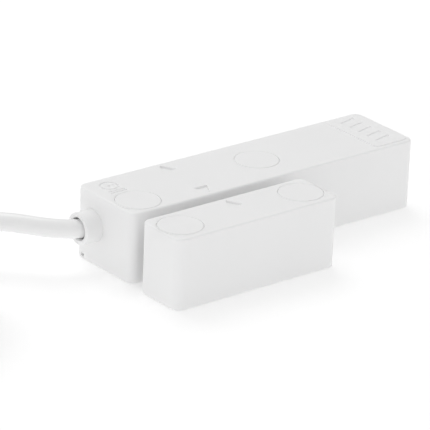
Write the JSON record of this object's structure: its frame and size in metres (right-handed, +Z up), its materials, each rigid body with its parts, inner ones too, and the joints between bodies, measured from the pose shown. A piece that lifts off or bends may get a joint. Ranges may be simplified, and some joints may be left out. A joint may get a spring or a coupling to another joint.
{
  "type": "door contact sensor",
  "caption": "Wired magnetic door contact: a long sensor unit with a reed switch and a folded cable, and a short magnet unit that slides away from it as the door opens.",
  "frame": {"origin": "under the middle of the two units together, on the surface that they stand on, with the units side by side as on a closed door", "axes": "+X from the cable end to the plain end of the sensor unit, +Y from the magnet unit to the sensor unit, +Z up from the mounting surface"},
  "size_m": [0.2034, 0.0462, 0.0222],
  "materials": {
    "housing_white": "moulded, fine satin",
    "board_green": "solder mask",
    "capsule_glass": "clear, green tint",
    "reed_steel": "plated",
    "resistor_tan": "lacquered",
    "resistor_blue": "lacquered",
    "sheath_white": "smooth PVC",
    "tie_nylon": "nylon",
    "core_red": "smooth PVC",
    "core_black": "smooth PVC",
    "core_yellow": "smooth PVC",
    "core_blue": "smooth PVC",
    "magnet_dark": "sintered ferrite"
  },
  "bodies": {
    "sensor": {"sensor_housing": "housing_white", "sensor_base_plate": "housing_white", "circuit_board": "board_green", "reed_glass": "capsule_glass", "reed_fixed_blade": "reed_steel", "reed_moving_lead": "reed_steel", "alarm_resistor": "resistor_tan", "end_of_line_resistor": "resistor_blue", "cable_sheath_end": "sheath_white", "strain_relief_tie": "tie_nylon", "core_red": "core_red", "core_black": "core_black", "core_yellow": "core_yellow", "core_blue": "core_blue", "cable_run": "sheath_white", "cable_hank": "sheath_white", "hank_tie": "tie_nylon", "cable_end_cores": "core_red"},
    "reed_tongue": {"reed_moving_blade": "reed_steel"},
    "magnet_unit": {"magnet_housing": "housing_white", "magnet_base_plate": "housing_white", "bar_magnet": "magnet_dark"},
    "end_cap": {"sensor_cap_end": "housing_white"},
    "mid_cap": {"sensor_cap_mid": "housing_white"},
    "left_cap": {"magnet_cap_left": "housing_white"},
    "right_cap": {"magnet_cap_right": "housing_white"}
  },
  "joints": [
    {"name": "magnet_slide", "type": "slide", "parent": "sensor", "child": "magnet_unit", "axis": [0, -1, 0], "range_m": [0, 0.045]},
    {"name": "tongue_flex", "type": "hinge", "parent": "sensor", "child": "reed_tongue", "pos_m": [-0.01055, 0.0038, 0.00637], "axis": [0, -1, 0], "range_deg": [0, 2]},
    {"name": "end_cap_lift", "type": "slide", "parent": "sensor", "child": "end_cap", "axis": [0, 0, 1], "range_m": [0, 0.02]},
    {"name": "mid_cap_lift", "type": "slide", "parent": "sensor", "child": "mid_cap", "axis": [0, 0, 1], "range_m": [0, 0.02]},
    {"name": "left_cap_lift", "type": "slide", "parent": "magnet_unit", "child": "left_cap", "axis": [0, 0, 1], "range_m": [0, 0.02]},
    {"name": "right_cap_lift", "type": "slide", "parent": "magnet_unit", "child": "right_cap", "axis": [0, 0, 1], "range_m": [0, 0.02]}
  ],
  "couplings": [
    {"joint": "tongue_flex", "follows": "magnet_slide", "rad_per_m": 0.75}
  ]
}
